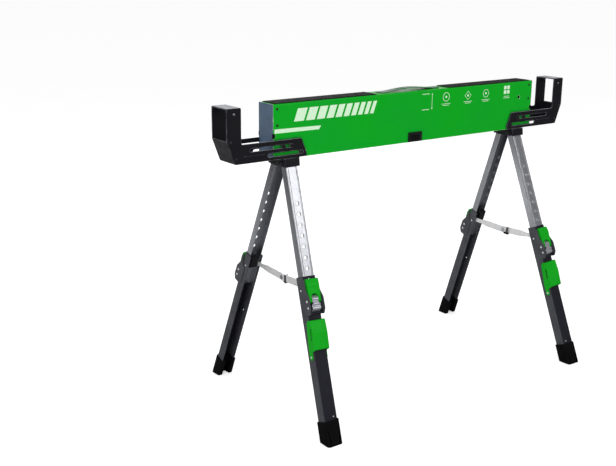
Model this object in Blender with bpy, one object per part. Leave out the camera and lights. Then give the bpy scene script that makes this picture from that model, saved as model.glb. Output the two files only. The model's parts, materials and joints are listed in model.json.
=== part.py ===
"""Folding sawhorse with telescoping legs, sliding support arms and a folding leg pair at each end.

Metres, +Z up. The origin is on the floor under the middle of the beam. +X runs along the
beam to the right end and -Y is the front. Left and right, front and back are mirror images,
so each repeated piece is modelled once, for the left end and the front leg, and mirrored.
"""

import math

import bmesh
import bpy
from mathutils import Matrix, Vector

# Beam: an inverted channel of sheet steel
BEAM_LENGTH = 0.922
BEAM_WIDTH = 0.063
BEAM_TOP = 0.8115
BEAM_BOTTOM = 0.674
BEAM_SHEET = 0.0018
NOTCH_HEIGHT = 0.733
NOTCH_RADIUS = 0.006
GAP = 0.0003

# Support arms: two side plates, a top plate and a slanted outer wall
ARM_OUTER_END = 0.5955
ARM_INNER_FACE = 0.5545
ARM_TOP = 0.8118
ARM_BOTTOM = 0.6748
ARM_RAIL_TOP = 0.7225
ARM_KNEE = 0.7325
ARM_TOE = 0.5735
ARM_TAIL_TOP = 0.3775
ARM_TAIL_BOTTOM = 0.3585
ARM_PLATE = 0.003
ARM_HALF_WIDTH = 0.035
UPPER_SLOT = (0.4023, 0.5315, 0.7065, 0.0043)
LOWER_SLOT = (0.3725, 0.4790, 0.6880, 0.0047)
GUIDE_PIN_RADIUS = 0.004
OUTER_PIN_X = 0.432
INNER_PIN_X = 0.4068
STUD_X = 0.3790
STUD_RADIUS = 0.0044
PIN_PROUD = 0.0362

# Hub: a folded bracket that swings on the fold pin and carries the two leg bolts
FOLD_X = 0.366
FOLD_Z = 0.690
FOLD_PIN_RADIUS = 0.004
HUB_OUTER = 0.430
HUB_INNER = 0.384
HUB_TOP = 0.6735
HUB_SHEET = 0.003
BOLT_RADIUS = 0.003

# Legs: from the leg bolt down to the floor
LEG_X = 0.407
LEG_Y = 0.022
LEG_Z = 0.662
FOOT_X = 0.445
FOOT_Y = 0.268
UPPER_WIDTH = 0.0354
UPPER_WEB = -0.008
UPPER_EDGE = 0.0125
LEG_SHEET = 0.0018
UPPER_TOP = 0.0045
UPPER_END = 0.396
FIRST_HOLE = 0.1063
HOLE_PITCH = 0.0274
HOLE_COUNT = 8
HOLE_RADIUS = 0.0050
LOWER_WIDTH = 0.0394
LOWER_WEB = -0.0103
LOWER_EDGE = 0.0185
NOSE_HOLE_RADIUS = 0.0036
LOWER_TOP = 0.289
LOWER_END = 0.688

# Latch at the top of the lower leg, board rest below it on a front leg, measured down the leg
PAWL_HOLE = FIRST_HOLE + (HOLE_COUNT - 1) * HOLE_PITCH
LATCH_PIN = Vector((0, -0.0165, -0.352))
LATCH_PIN_RADIUS = 0.0025
LATCH_HALF_WIDTH = 0.0178
EAR_INNER = 0.0200
EAR_OUTER = 0.0218
REST_PIVOT = Vector((0, 0.001, -0.490))
REST_HALF_WIDTH = 0.0228
REST_INSIDE = 0.0202

# Folding strut between the two legs of a pair
STRUT_DOWN = 0.318
STRUT_INWARD = 0.009
STRUT_BACK_U = 0.0126
STRUT_FRONT_U = 0.0099
STRUT_SHEET = 0.0022
STRUT_SAG = 0.006
STRUT_HOLE = 0.0033

# Folded-leg catch in the front wall, carry handle and grip strips on the top
CATCH_X = 0.004
CATCH_HALF = 0.0245
CATCH_TOP = 0.7005
HANDLE_HALF = 0.105
HANDLE_FLAT = 0.020
HANDLE_STRAP = 0.0020
HANDLE_RISE = 0.0062
GRIP_TOP = 0.8132
GRIP_ENDS = (0.130, 0.455)
GRIP_HALF_WIDTH = 0.0272

ROUND = 16


def start_scene():
    """Clears the scene and makes the object's collection and one for working shapes."""
    for old in list(bpy.data.objects):
        bpy.data.objects.remove(old, do_unlink=True)
    for name in ("folding_sawhorse", "cutters"):
        collection = bpy.data.collections.new(name)
        bpy.context.scene.collection.children.link(collection)


def paint(name, colour, roughness, metallic):
    material = bpy.data.materials.new(name)
    material.use_nodes = True
    shader = material.node_tree.nodes["Principled BSDF"]
    shader.inputs["Base Color"].default_value = (*colour, 1)
    shader.inputs["Roughness"].default_value = roughness
    shader.inputs["Metallic"].default_value = metallic
    return material


def baked(obj):
    """The object's evaluated mesh, welded, with the object itself removed."""
    graph = bpy.context.evaluated_depsgraph_get()
    mesh = bpy.data.meshes.new_from_object(obj.evaluated_get(graph))
    mesh.transform(obj.matrix_world)
    bm = bmesh.new()
    bm.from_mesh(mesh)
    bmesh.ops.remove_doubles(bm, verts=bm.verts, dist=1e-6)
    bmesh.ops.recalc_face_normals(bm, faces=bm.faces)
    bm.to_mesh(mesh)
    bm.free()
    bpy.data.objects.remove(obj, do_unlink=True)
    return mesh


def working(mesh_or_curve):
    """A hidden working object that holds a shape while it is cut or joined."""
    obj = bpy.data.objects.new("working", mesh_or_curve)
    obj.hide_render = True
    obj.display_type = "WIRE"
    bpy.data.collections["cutters"].objects.link(obj)
    bpy.context.view_layer.update()
    return obj


def combined(operation, base, others):
    """The base mesh with each other mesh cut from it or joined to it."""
    obj = working(base)
    tools = [working(other) for other in others]
    for tool in tools:
        boolean = obj.modifiers.new(operation.lower(), "BOOLEAN")
        boolean.operation = operation
        boolean.object = tool
    result = baked(obj)
    for tool in tools:
        bpy.data.objects.remove(tool, do_unlink=True)
    return result


def cut(base, *cutters):
    return combined("DIFFERENCE", base, cutters)


def joined(base, *others):
    return combined("UNION", base, others)


def rounded(corners, radius, steps=3):
    """An outline with its corners turned into arcs; radius is one number or one per corner."""
    count = len(corners)
    radii = radius if isinstance(radius, (list, tuple)) else [radius] * count
    points = []
    for i, r in enumerate(radii):
        corner = Vector(corners[i])
        if not r:
            points.append(corner)
            continue
        back = (Vector(corners[i - 1]) - corner).normalized()
        ahead = (Vector(corners[(i + 1) % count]) - corner).normalized()
        half = back.angle(ahead) / 2
        centre = corner + (back + ahead).normalized() * (r / math.sin(half))
        first = corner + back * (r / math.tan(half)) - centre
        last = corner + ahead * (r / math.tan(half)) - centre
        turn = first.angle(last)
        for step in range(steps + 1):
            t = step / steps
            blend = first * math.sin((1 - t) * turn) + last * math.sin(t * turn)
            points.append(centre + blend / math.sin(turn))
    return points


def circle(x, y, radius, steps=ROUND):
    turns = [2 * math.pi * i / steps for i in range(steps)]
    return [(x + radius * math.cos(a), y + radius * math.sin(a)) for a in turns]


def stadium(left, right, middle, radius):
    """A slot's outline: straight sides with half-round ends."""
    corners = [
        (left, middle - radius),
        (right, middle - radius),
        (right, middle + radius),
        (left, middle + radius),
    ]
    return rounded(corners, radius * 0.999, steps=4)


def extruded(outline, depth, holes=()):
    """A flat outline with holes, filled, and given depth along +Z."""
    curve = bpy.data.curves.new("outline", "CURVE")
    curve.dimensions = "2D"
    curve.fill_mode = "BOTH"
    curve.extrude = depth / 2
    for loop in (outline, *holes):
        spline = curve.splines.new("POLY")
        spline.points.add(len(loop) - 1)
        for point, place in zip(spline.points, loop):
            point.co = (place[0], place[1], 0, 1)
        spline.use_cyclic_u = True
    mesh = baked(working(curve))
    mesh.transform(Matrix.Translation((0, 0, depth / 2)))
    return mesh


def slab_x(outline, x0, x1, holes=()):
    """A (y, z) outline between two x planes."""
    mesh = extruded(outline, x1 - x0, holes)
    mesh.transform(Matrix(((0, 0, 1, x0), (1, 0, 0, 0), (0, 1, 0, 0), (0, 0, 0, 1))))
    return mesh


def slab_y(outline, y0, y1, holes=()):
    """An (x, z) outline between two y planes."""
    mesh = extruded(outline, y1 - y0, holes)
    mesh.transform(Matrix(((1, 0, 0, 0), (0, 0, -1, y1), (0, 1, 0, 0), (0, 0, 0, 1))))
    return mesh


def slab_z(outline, z0, z1, holes=()):
    """An (x, y) outline between two z planes."""
    mesh = extruded(outline, z1 - z0, holes)
    mesh.transform(Matrix.Translation((0, 0, z0)))
    return mesh


def block(x, y, z):
    """A box, from (low, high) pairs."""
    bm = bmesh.new()
    size = Matrix.Diagonal((x[1] - x[0], y[1] - y[0], z[1] - z[0], 1))
    middle = Matrix.Translation((sum(x) / 2, sum(y) / 2, sum(z) / 2))
    bmesh.ops.create_cube(bm, size=1, matrix=middle @ size)
    mesh = bpy.data.meshes.new("block")
    bm.to_mesh(mesh)
    bm.free()
    return mesh


def rod(start, end, radius, steps=ROUND):
    """A cylinder between two points."""
    start, end = Vector(start), Vector(end)
    axis = end - start
    turn = axis.to_track_quat("Z", "Y").to_matrix().to_4x4()
    place = Matrix.Translation((start + end) / 2) @ turn
    size = {"radius1": radius, "radius2": radius, "depth": axis.length}
    bm = bmesh.new()
    bmesh.ops.create_cone(bm, cap_ends=True, segments=steps, matrix=place, **size)
    mesh = bpy.data.meshes.new("rod")
    bm.to_mesh(mesh)
    bm.free()
    return mesh


def channel(half_width, web, edge, sheet, outer_radius=0.0025, grooves=0.0):
    """The outline of a channel open towards +Y, its web's outer face at y = web."""
    inner = half_width - sheet
    face = [(-half_width, web), (half_width, web)]
    radii = [outer_radius, outer_radius]
    if grooves:
        middle, wide, deep = 0.0118, 0.0013, grooves
        face = [(-half_width, web)]
        for side in (-1, 1):
            face += [
                (side * middle - wide, web),
                (side * middle - wide / 2, web + deep),
                (side * middle + wide / 2, web + deep),
                (side * middle + wide, web),
            ]
        face += [(half_width, web)]
        radii = [outer_radius] + [0] * 8 + [outer_radius]
    rest = [(half_width, edge), (inner, edge), (inner, web + sheet)]
    rest += [(-inner, web + sheet), (-inner, edge), (-half_width, edge)]
    small = outer_radius - sheet if outer_radius > sheet else 0
    return rounded(face + rest, radii + [0, 0, small, small, 0, 0], steps=2)


def leg_frame():
    """The left front leg's frame: origin on its bolt, X across it, Y inwards, Z up along it."""
    top = Vector((-LEG_X, -LEG_Y, LEG_Z))
    up = (top - Vector((-FOOT_X, -FOOT_Y, 0))).normalized()
    across = (Vector((1, 0, 0)) - up * up.x).normalized()
    inwards = up.cross(across)
    turn = Matrix((across, inwards, up)).transposed().to_4x4()
    return Matrix.Translation(top) @ turn


def mirror(side, face):
    """The matrix that takes a left front piece to the end and face that are named."""
    return Matrix.Diagonal((-1 if side == "right" else 1, -1 if face == "back" else 1, 1, 1))


def axis_empty(name, place, parent=None):
    empty = bpy.data.objects.new(name, None)
    empty.empty_display_size = 0.02
    bpy.data.collections["folding_sawhorse"].objects.link(empty)
    empty.matrix_world = place
    if parent:
        bpy.context.view_layer.update()
        empty.parent = parent
        empty.matrix_parent_inverse = parent.matrix_world.inverted()
    bpy.context.view_layer.update()
    return empty


def piece(name, mesh, material, parent=None, flip=None):
    """A finished piece: its own copy of the mesh, mirrored if asked, riding on its joint's empty."""
    mesh = mesh.copy()
    if flip:
        mesh.transform(flip)
        if flip.determinant() < 0:
            mesh.flip_normals()
    mesh.name = name
    mesh.materials.clear()
    mesh.materials.append(material)
    mesh.shade_smooth()
    mesh.set_sharp_from_angle(angle=math.radians(30))
    obj = bpy.data.objects.new(name, mesh)
    bpy.data.collections["folding_sawhorse"].objects.link(obj)
    if parent:
        mesh.transform(parent.matrix_world.inverted())
        if parent.matrix_world.determinant() < 0:
            mesh.flip_normals()
        obj.parent = parent
    return obj


def beam_mesh():
    half = BEAM_WIDTH / 2
    inner = half - BEAM_SHEET
    section = [(-half, BEAM_BOTTOM), (-half, BEAM_TOP), (half, BEAM_TOP), (half, BEAM_BOTTOM)]
    section += [(inner, BEAM_BOTTOM), (inner, BEAM_TOP - BEAM_SHEET)]
    section += [(-inner, BEAM_TOP - BEAM_SHEET), (-inner, BEAM_BOTTOM)]
    outline = rounded(section, [0, 0.004, 0.004, 0, 0, 0.0022, 0.0022, 0], steps=3)
    end = BEAM_LENGTH / 2
    cutters = []
    across = BEAM_WIDTH
    drilled = [
        (FOLD_X, FOLD_Z, FOLD_PIN_RADIUS),
        (OUTER_PIN_X, UPPER_SLOT[2], GUIDE_PIN_RADIUS),
        (INNER_PIN_X, UPPER_SLOT[2], GUIDE_PIN_RADIUS),
        (STUD_X, LOWER_SLOT[2], STUD_RADIUS),
        (end, NOTCH_HEIGHT, NOTCH_RADIUS),
    ]
    for x, z, radius in drilled:
        for side in (-1, 1):
            cutters.append(rod((side * x, -across, z), (side * x, across, z), radius + GAP))
    notch = (CATCH_X - CATCH_HALF + 0.002, CATCH_X + CATCH_HALF - 0.002)
    cutters.append(block(notch, (-across, 0), (BEAM_BOTTOM - 0.01, CATCH_TOP - 0.0015)))
    return cut(slab_x(outline, -end, end), *cutters)


def end_plate_mesh():
    """The left end's closing plate, a channel whose flanges lie along the beam's walls."""
    half = BEAM_WIDTH / 2 - BEAM_SHEET - GAP
    end = -BEAM_LENGTH / 2 + GAP
    sheet = 0.0016
    plan = [(end, half), (end, -half), (end + 0.024, -half), (end + 0.024, -half + sheet)]
    plan += [(end + sheet, -half + sheet), (end + sheet, half - sheet)]
    plan += [(end + 0.024, half - sheet), (end + 0.024, half)]
    return slab_z(plan, BEAM_BOTTOM + 0.004, BEAM_TOP - BEAM_SHEET - 0.0026)


def grip_mesh():
    """The left one of the two grip strips."""
    near, far = GRIP_ENDS
    half = GRIP_HALF_WIDTH
    plan = [(-far, -half), (-near, -half), (-near, half), (-far, half)]
    return slab_z(rounded(plan, 0.003), BEAM_TOP + GAP, GRIP_TOP)


def handle_mesh():
    """A low bow of steel strip with flat ends, open underneath for the fingers' tips."""
    base = BEAM_TOP + GAP
    span = HANDLE_HALF - HANDLE_FLAT
    steps = 16
    arch = []
    for step in range(steps + 1):
        t = step / steps
        arch.append((-span + 2 * span * t, base + HANDLE_RISE * math.sin(math.pi * t) ** 1.3))
    below = [(-HANDLE_HALF, base), *arch, (HANDLE_HALF, base)]
    above = [(x, z + HANDLE_STRAP) for x, z in reversed(below)]
    return slab_y(below + above, -0.0115, 0.0115)


def catch_meshes():
    """The catch's housing, let into the front wall, and the button in its recess."""
    front = -BEAM_WIDTH / 2
    flange_x = (CATCH_X - CATCH_HALF, CATCH_X + CATCH_HALF)
    body_x = (flange_x[0] + 0.0024, flange_x[1] - 0.0024)
    flange = block(flange_x, (front - 0.0022, front - GAP), (BEAM_BOTTOM + 0.0005, CATCH_TOP))
    body = block(body_x, (front - 0.0008, front + 0.012), (BEAM_BOTTOM + 0.0009, CATCH_TOP - 0.002))
    middle = (BEAM_BOTTOM + CATCH_TOP) / 2
    mouth = (CATCH_X - 0.0140, CATCH_X + 0.0140)
    recess = block(mouth, (front - 0.01, front + 0.0085), (middle - 0.007, middle + 0.006))
    housing = cut(joined(flange, body), recess)
    corners = [
        (CATCH_X - 0.0136, middle - 0.0066),
        (CATCH_X + 0.0136, middle - 0.0066),
        (CATCH_X + 0.0136, middle + 0.0056),
        (CATCH_X - 0.0136, middle + 0.0056),
    ]
    button = slab_y(rounded(corners, 0.002), front - 0.0032, front + 0.0035)
    return housing, button


def arm_mesh():
    corners = [
        (-ARM_OUTER_END, ARM_TOP),
        (-ARM_OUTER_END, ARM_KNEE),
        (-ARM_TOE, ARM_BOTTOM),
        (-ARM_TAIL_BOTTOM, ARM_BOTTOM),
        (-ARM_TAIL_TOP, ARM_RAIL_TOP),
        (-ARM_INNER_FACE, ARM_RAIL_TOP),
        (-ARM_INNER_FACE, ARM_TOP),
    ]
    outline = rounded(corners, [0.003, 0.006, 0.006, 0.005, 0.005, 0.004, 0.003])
    slots = [stadium(-s[1], -s[0], s[2], s[3]) for s in (UPPER_SLOT, LOWER_SLOT)]
    whole = slab_y(outline, -ARM_HALF_WIDTH, ARM_HALF_WIDTH, slots)
    past = 0.02
    lean = (ARM_OUTER_END - ARM_TOE) / (ARM_KNEE - ARM_BOTTOM)
    wall = ARM_PLATE * math.hypot(1, lean)
    foot_x = -ARM_TOE + lean * past + wall
    hollow = [
        (-ARM_OUTER_END - past, ARM_TOP - ARM_PLATE),
        (-ARM_OUTER_END - past, ARM_KNEE + 0.002),
        (-ARM_OUTER_END - 0.001, ARM_KNEE + 0.002),
        (-ARM_OUTER_END + wall, ARM_KNEE),
        (foot_x, ARM_BOTTOM - past),
        (-ARM_TAIL_BOTTOM + past, ARM_BOTTOM - past),
        (-ARM_TAIL_BOTTOM + past, ARM_TOP - ARM_PLATE),
    ]
    inside = ARM_HALF_WIDTH - ARM_PLATE
    return cut(whole, slab_y(hollow, -inside, inside))


def hub_mesh():
    """The left hub: a bridge and two cross plates, stop wings outside the legs, ears up to the pin."""
    outer, inner = -HUB_OUTER, -HUB_INNER
    bridge = block((outer, inner), (-0.034, 0.034), (HUB_TOP - HUB_SHEET, HUB_TOP))
    plates = []
    for x0 in (outer + 0.0002, inner - HUB_SHEET - 0.0002):
        holes = [circle(side * LEG_Y, LEG_Z, BOLT_RADIUS + GAP, 12) for side in (-1, 1)]
        top = HUB_TOP - 0.001
        corners = [(-0.031, 0.6515), (0.031, 0.6515), (0.031, top), (-0.031, top)]
        plates.append(slab_x(rounded(corners, [0.004, 0.004, 0, 0]), x0, x0 + HUB_SHEET, holes))
    wing = [(-0.0315, 0.6712), (-0.0350, 0.6528), (-0.0386, 0.6528)]
    wing += [(-0.0362, 0.6730), (-0.0320, 0.6730)]
    for side in (-1, 1):
        outline = [(-side * y, z) for y, z in wing]
        plates.append(slab_x(outline[::side], outer + 0.0004, inner - 0.0004))
    ear = [(outer + 0.003, 0.6712), (inner + 0.0006, 0.6712), (-0.3572, 0.6815)]
    ear += [(-0.3572, 0.6988), (-0.3735, 0.6988), (outer + 0.003, 0.6790)]
    hole = circle(-FOLD_X, FOLD_Z, FOLD_PIN_RADIUS + GAP)
    ear = rounded(ear, [0, 0.004, 0.008, 0.008, 0.006, 0.003])
    for y0 in (-0.0290, 0.0260):
        plates.append(slab_y(ear, y0, y0 + 0.003, [hole]))
    return joined(bridge, *plates)


def leg_bolt_mesh():
    """A leg's bolt, with its head outboard of the hub and its nut inboard."""
    height = (-LEG_Y, LEG_Z)
    shank = rod((-0.4365, *height), (-0.3795, *height), BOLT_RADIUS)
    head = rod((-0.4360, *height), (-HUB_OUTER - GAP, *height), 0.0060, 12)
    nut = rod((-HUB_INNER + GAP, *height), (-0.3800, *height), 0.0052, 6)
    return joined(shank, head, nut)


def upper_leg_mesh(frame):
    """The zinc-plated inner leg, with its row of holes and the stub that the strut turns on."""
    outline = channel(UPPER_WIDTH / 2, UPPER_WEB, UPPER_EDGE, LEG_SHEET, grooves=0.0007)
    leg = slab_z(outline, -UPPER_END, UPPER_TOP)
    drills = []
    for i in range(HOLE_COUNT):
        z = -FIRST_HOLE - i * HOLE_PITCH
        drills.append(rod((0, UPPER_WEB - 0.01, z), (0, UPPER_WEB + 0.01, z), HOLE_RADIUS, 12))
    to_leg = frame.inverted()
    along_bolt = to_leg.to_3x3() @ Vector((UPPER_WIDTH, 0, 0))
    drills.append(rod(-along_bolt, along_bolt, BOLT_RADIUS + GAP, 12))
    leg = cut(leg, *drills)
    pivot = frame @ Vector((STRUT_BACK_U, STRUT_INWARD, -STRUT_DOWN))
    stub_end = to_leg @ (pivot - Vector((0.0050, 0, 0)))
    stub_root = to_leg @ (pivot + Vector((0.0038, 0, 0)))
    return joined(leg, rod(stub_end, stub_root, 0.0030, 12))


def lower_leg_mesh(has_rest):
    """The sliding lower leg, with a hole for the latch's nose and stubs for the board rest."""
    outline = channel(LOWER_WIDTH / 2, LOWER_WEB, LOWER_EDGE, 0.0017)
    leg = slab_z(outline, -LOWER_END, -LOWER_TOP)
    ends = [(0, LOWER_WEB + y, -PAWL_HOLE) for y in (-0.01, 0.01)]
    leg = cut(leg, rod(*ends, NOSE_HOLE_RADIUS, 12))
    if not has_rest:
        return leg
    stubs = []
    for side in (-1, 1):
        root = REST_PIVOT + Vector((side * (LOWER_WIDTH / 2 - 0.001), 0, 0))
        tip = REST_PIVOT + Vector((side * 0.0222, 0, 0))
        stubs.append(rod(root, tip, 0.003, 12))
    return joined(leg, *stubs)


def latch_bracket_mesh():
    """Two ears riveted to the lower leg's flanges, joined by a bridge below the latch."""
    ear = [(0.006, -0.336), (0.006, -0.380), (-0.004, -0.3865), (-0.0215, -0.3865)]
    ear += [(-0.0290, -0.3740), (-0.0285, -0.3450), (-0.0175, -0.3250), (-0.0165, -0.2975)]
    ear += [(-0.0120, -0.2975), (-0.0060, -0.3240)]
    outline = rounded(ear, [0.004, 0.004, 0.004, 0.006, 0.006, 0.008, 0.006, 0.002, 0.002, 0.004], steps=3)
    hole = circle(LATCH_PIN.y, LATCH_PIN.z, LATCH_PIN_RADIUS + GAP, 12)
    sheet = EAR_OUTER - EAR_INNER
    ears = [slab_x(outline, x0, x0 + sheet, [hole]) for x0 in (-EAR_OUTER, EAR_INNER)]
    bridge = block((-0.0212, 0.0212), (-0.0205, LOWER_WEB - GAP), (-0.3835, -0.3808))
    return joined(bridge, *ears)


def latch_mesh():
    """The thumb latch: a pad above two prongs on the pin, with a nose in the outer leg's hole."""
    low = LATCH_PIN.z
    profile = [(-0.0128, -0.2965), (-0.0200, -0.2965), (-0.0236, -0.3110), (-0.0220, low)]
    profile += [(-0.0220, low - 0.0050), (-0.0112, low - 0.0050)]
    profile += [(-0.0112, low + 0.012), (-0.0125, -0.318)]
    outline = rounded(profile, [0.001, 0.002, 0.004, 0, 0.0048, 0.0048, 0, 0])
    hole = circle(LATCH_PIN.y, low, LATCH_PIN_RADIUS + GAP, 12)
    pad = slab_x(outline, -LATCH_HALF_WIDTH, LATCH_HALF_WIDTH, [hole])
    between = block((-0.0098, 0.0098), (-0.03, 0), (low - 0.02, low + 0.018))
    nose_z = -PAWL_HOLE - 0.0004
    nose = rod((0, -0.0150, nose_z - 0.0008), (0, UPPER_WEB - 0.0007, nose_z), 0.0027, 12)
    return joined(cut(pad, between), nose)


def latch_pin_mesh():
    side = Vector((EAR_OUTER + 0.0008, 0, 0))
    return rod(LATCH_PIN - side, LATCH_PIN + side, LATCH_PIN_RADIUS, 12)


def board_rest_mesh():
    """The board rest: a flap over the leg's face whose side lugs turn on the lower stubs."""
    side = [(-0.0180, -0.3990), (-0.0208, -0.4300), (-0.0185, -0.4740), (-0.0060, -0.4770)]
    side += [(-0.0055, -0.4970), (0.0075, -0.4970), (0.0068, -0.4660)]
    side += [(0.0005, -0.4080), (-0.0050, -0.3990)]
    outline = rounded(side, [0.002, 0.012, 0.003, 0.004, 0.005, 0.005, 0.01, 0.004, 0.004])
    hole = circle(REST_PIVOT.y, REST_PIVOT.z, 0.003 + GAP, 12)
    cover = slab_x(outline, -REST_HALF_WIDTH, REST_HALF_WIDTH, [hole])
    hollow = [(-0.0154, -0.380), (-0.0154, -0.400), (-0.0180, -0.430), (-0.0158, -0.4722)]
    hollow += [(-0.0300, -0.4745), (-0.0300, -0.520), (0.030, -0.520), (0.030, -0.380)]
    return cut(cover, slab_x(hollow, -REST_INSIDE, REST_INSIDE))


def foot_mesh(frame):
    """The rubber foot, open on the leg's inner side and cut flat on the floor; in world axes."""
    corners = [(-0.0235, -0.0142), (0.0235, -0.0142), (0.0235, 0.0225), (-0.0235, 0.0225)]
    foot = slab_z(rounded(corners, [0.006, 0.006, 0.004, 0.004]), -0.740, -0.640)
    pocket = channel(LOWER_WIDTH / 2 + GAP, LOWER_WEB - GAP, LOWER_EDGE + GAP, 0.0017 + 2 * GAP)
    gap = block((-0.0105, 0.0105), (0.002, 0.04), (-0.80, -0.6))
    foot = cut(foot, slab_z(pocket, -LOWER_END - GAP, -0.6), gap)
    foot.transform(frame)
    under = block((-0.8, 0.2), (-0.8, 0.2), (-0.2, 0))
    above = block((-0.1, 0.1), (-0.1, 0.1), (0, 0.1))
    lean = math.atan2(FOOT_Y - LEG_Y, LEG_Z)
    above.transform(Matrix.Translation(frame @ Vector((0, 0, -0.649))) @ Matrix.Rotation(-lean, 4, "X"))
    return cut(foot, under, above)


def strut_ends(frame):
    """Where the back link turns on the back leg, and the middle hinge."""
    pivot = frame @ Vector((STRUT_BACK_U, STRUT_INWARD, -STRUT_DOWN))
    pivot.y = -pivot.y
    return pivot, Vector((pivot.x, 0, pivot.z - STRUT_SAG))


def strut_mesh(pivot, hinge, x_middle):
    """A flat link, narrow at the leg and wide at the hinge, in a plane across the beam."""
    length = (hinge - pivot).length
    narrow, wide = 0.0060, 0.0095
    side = [(0, narrow), (length * 0.25, narrow), (length * 0.45, wide), (length, wide)]
    turns = [math.pi * i / 8 for i in range(1, 8)]
    outline = side + [(length + wide * math.sin(a), wide * math.cos(a)) for a in turns]
    outline += [(x, -y) for x, y in reversed(side)]
    outline += [(-narrow * math.sin(a), -narrow * math.cos(a)) for a in turns]
    holes = [circle(0, 0, STRUT_HOLE, 12), circle(length, 0, STRUT_HOLE, 12)]
    link = extruded(outline[::-1], STRUT_SHEET, holes)
    along = (hinge - pivot).normalized()
    across = Vector((1, 0, 0)).cross(along)
    turn = Matrix((along, across, (1, 0, 0))).transposed().to_4x4()
    place = Vector((x_middle - STRUT_SHEET / 2, pivot.y, pivot.z))
    link.transform(Matrix.Translation(place) @ turn)
    return link


def strut_rivet_mesh(hinge):
    """The hinge's rivet, headed on the inboard side of the back link."""
    middle = Vector((hinge.x, 0, hinge.z))
    reach = Vector((STRUT_SHEET / 2, 0, 0))
    shank = rod(middle - reach, middle + reach * 1.9, STRUT_HOLE - GAP, 12)
    head = rod(middle + reach + Vector((GAP, 0, 0)), middle + reach * 2.4, 0.0058, 12)
    return joined(shank, head)


def build_frame(paints):
    green, black, slate, rubber = (paints[k] for k in ("green", "black", "slate", "rubber"))
    piece("beam", beam_mesh(), green)
    piece("carry_handle", handle_mesh(), paints["zinc"])
    housing, button = catch_meshes()
    piece("catch_housing", housing, paints["moulding"])
    middle = Vector((CATCH_X, -BEAM_WIDTH / 2, (BEAM_BOTTOM + CATCH_TOP) / 2))
    piece("catch_button", button, rubber, axis_empty("catch_axis", Matrix.Translation(middle)))
    plate, grip = end_plate_mesh(), grip_mesh()
    fold_pin = rod((-FOLD_X, -0.0313, FOLD_Z), (-FOLD_X, 0.0313, FOLD_Z), FOLD_PIN_RADIUS)
    guides = {}
    for name, x in (("outer", OUTER_PIN_X), ("inner", INNER_PIN_X)):
        z = UPPER_SLOT[2]
        guides[name] = rod((-x, -PIN_PROUD, z), (-x, PIN_PROUD, z), GUIDE_PIN_RADIUS)
    stud_in = -BEAM_WIDTH / 2 + BEAM_SHEET - 0.0002
    stud = rod((-STUD_X, -PIN_PROUD, LOWER_SLOT[2]), (-STUD_X, stud_in, LOWER_SLOT[2]), STUD_RADIUS)
    for side in ("left", "right"):
        flip = mirror(side, "front")
        piece(f"{side}_end_plate", plate, slate, flip=flip)
        piece(f"{side}_top_grip", grip, rubber, flip=flip)
        piece(f"{side}_fold_pin", fold_pin, paints["zinc"], flip=flip)
        for name, mesh in guides.items():
            piece(f"{side}_{name}_guide_pin", mesh, black, flip=flip)
        for face in ("front", "back"):
            piece(f"{side}_{face}_guide_stud", stud, black, flip=mirror(side, face))


def build_arms(paints):
    arm = arm_mesh()
    for side in ("left", "right"):
        flip = mirror(side, "front")
        end = Vector((-BEAM_LENGTH / 2, 0, UPPER_SLOT[2]))
        empty = axis_empty(f"{side}_arm_axis", Matrix.Translation(flip @ end))
        piece(f"{side}_support_arm", arm, paints["black"], empty, flip)


def build_leg_pairs(paints):
    frame = leg_frame()
    hub, bolt = hub_mesh(), leg_bolt_mesh()
    upper, foot = upper_leg_mesh(frame), foot_mesh(frame)
    lower = {"front": lower_leg_mesh(has_rest=True), "back": lower_leg_mesh(has_rest=False)}
    bracket, latch, pin = latch_bracket_mesh(), latch_mesh(), latch_pin_mesh()
    rest = board_rest_mesh()
    for mesh in (upper, *lower.values(), bracket, latch, pin, rest):
        mesh.transform(frame)
    pivot, hinge = strut_ends(frame)
    back_link = strut_mesh(pivot, hinge, pivot.x)
    apart = STRUT_BACK_U - STRUT_FRONT_U
    front_link = strut_mesh(pivot, hinge, pivot.x - apart)
    rivet = strut_rivet_mesh(hinge)
    for side in ("left", "right"):
        flip = mirror(side, "front")
        fold = axis_empty(f"{side}_fold_axis", Matrix.Translation(flip @ Vector((-FOLD_X, 0, FOLD_Z))))
        piece(f"{side}_hub", hub, paints["black"], fold, flip)
        for face in ("front", "back"):
            flip = mirror(side, face)
            name = f"{side}_{face}"
            piece(f"{name}_leg_bolt", bolt, paints["black"], fold, flip)
            top = flip @ Vector((-LEG_X, -LEG_Y, LEG_Z))
            spread = axis_empty(f"{name}_spread_axis", Matrix.Translation(top), fold)
            piece(f"{name}_upper_leg", upper, paints["zinc"], spread, flip)
            slide = axis_empty(f"{name}_slide_axis", Matrix.Translation(top), spread)
            piece(f"{name}_lower_leg", lower[face], paints["charcoal"], slide, flip)
            piece(f"{name}_foot", foot, paints["foot"], slide, flip)
            piece(f"{name}_latch_bracket", bracket, paints["charcoal"], slide, flip)
            piece(f"{name}_latch_pin", pin, paints["zinc"], slide, flip)
            turn = axis_empty(f"{name}_latch_axis", Matrix.Translation(flip @ frame @ LATCH_PIN), slide)
            piece(f"{name}_latch", latch, paints["plastic"], turn, flip)
            if face == "front":
                place = Matrix.Translation(flip @ frame @ REST_PIVOT)
                turn = axis_empty(f"{side}_rest_axis", place, slide)
                piece(f"{side}_board_rest", rest, paints["plastic"], turn, flip)
            # Both links are modelled at the back leg, so it's the front one that is turned over.
            link, over = back_link, mirror(side, "front")
            if face == "front":
                link, over = front_link, mirror(side, "back")
            swing = axis_empty(f"{name}_strut_axis", Matrix.Translation(over @ pivot), spread)
            piece(f"{name}_strut", link, paints["zinc"], swing, over)
            if face == "back":
                piece(f"{side}_strut_rivet", rivet, paints["zinc"], swing, over)


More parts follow.
